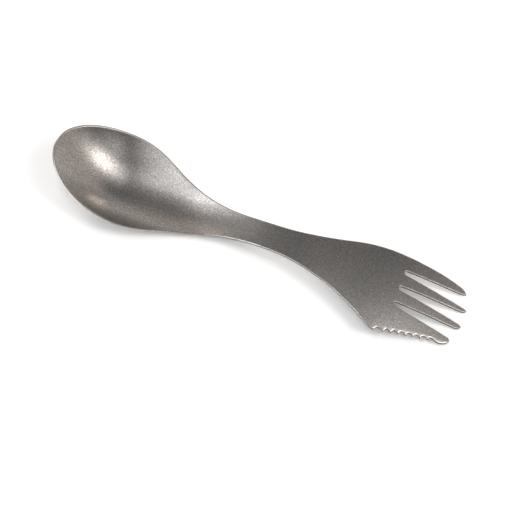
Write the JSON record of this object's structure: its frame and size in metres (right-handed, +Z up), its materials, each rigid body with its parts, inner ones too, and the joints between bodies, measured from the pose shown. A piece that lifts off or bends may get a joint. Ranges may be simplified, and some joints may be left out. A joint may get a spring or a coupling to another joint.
{
  "type": "spork",
  "caption": "One-piece titanium camping spork: a spoon bowl at one end and a fork with a serrated outer tine at the other.",
  "frame": {"origin": "middle of the spork's box, on the surface it rests on, bowl open upward", "axes": "+X along the handle from the bowl to the fork, +Z up, the serrated tine on -Y"},
  "size_m": [0.1704, 0.0398, 0.0164],
  "materials": {
    "titanium": "matt bead-blasted titanium, warm grey"
  },
  "bodies": {
    "root": {"spork_body": "titanium"}
  },
  "joints": []
}
